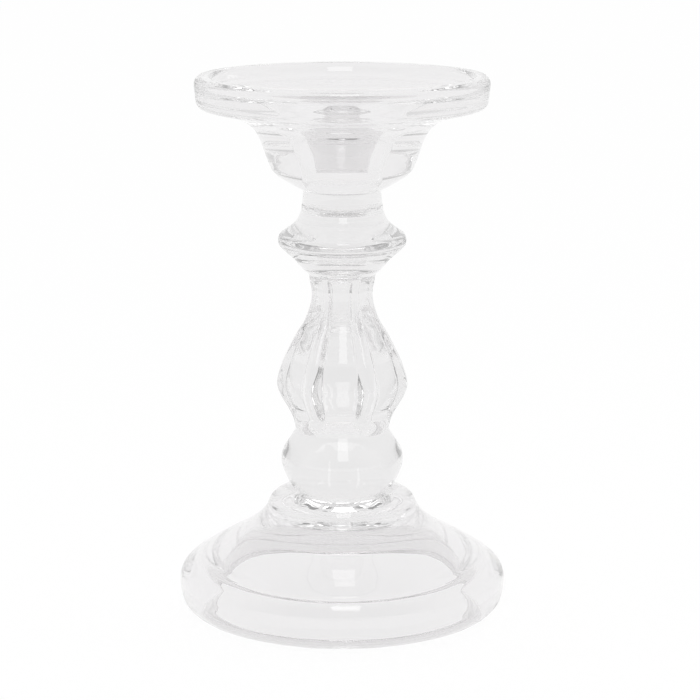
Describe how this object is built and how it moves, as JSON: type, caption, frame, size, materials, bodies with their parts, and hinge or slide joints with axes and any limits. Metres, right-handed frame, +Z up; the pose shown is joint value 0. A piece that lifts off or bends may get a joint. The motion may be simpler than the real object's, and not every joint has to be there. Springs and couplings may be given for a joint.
{
  "type": "glass candlestick",
  "caption": "Free-standing clear glass candlestick with a dish and taper socket on a fluted baluster stem and a domed hollow foot.",
  "frame": {"origin": "centre of the foot's contact plane, on the candlestick's axis", "axes": "+Z up along the stem from the foot to the candle dish, -Y towards the viewer, +X to the viewer's right"},
  "size_m": [0.123, 0.123, 0.2032],
  "materials": {
    "clear_glass": "clear fire-polished pressed glass"
  },
  "bodies": {
    "root": {"domed_foot": "clear_glass", "shoulder_wafer": "clear_glass", "ball_knop": "clear_glass", "fluted_baluster": "clear_glass", "collar_knop": "clear_glass", "neck_wafer": "clear_glass", "candle_dish": "clear_glass"}
  },
  "joints": []
}
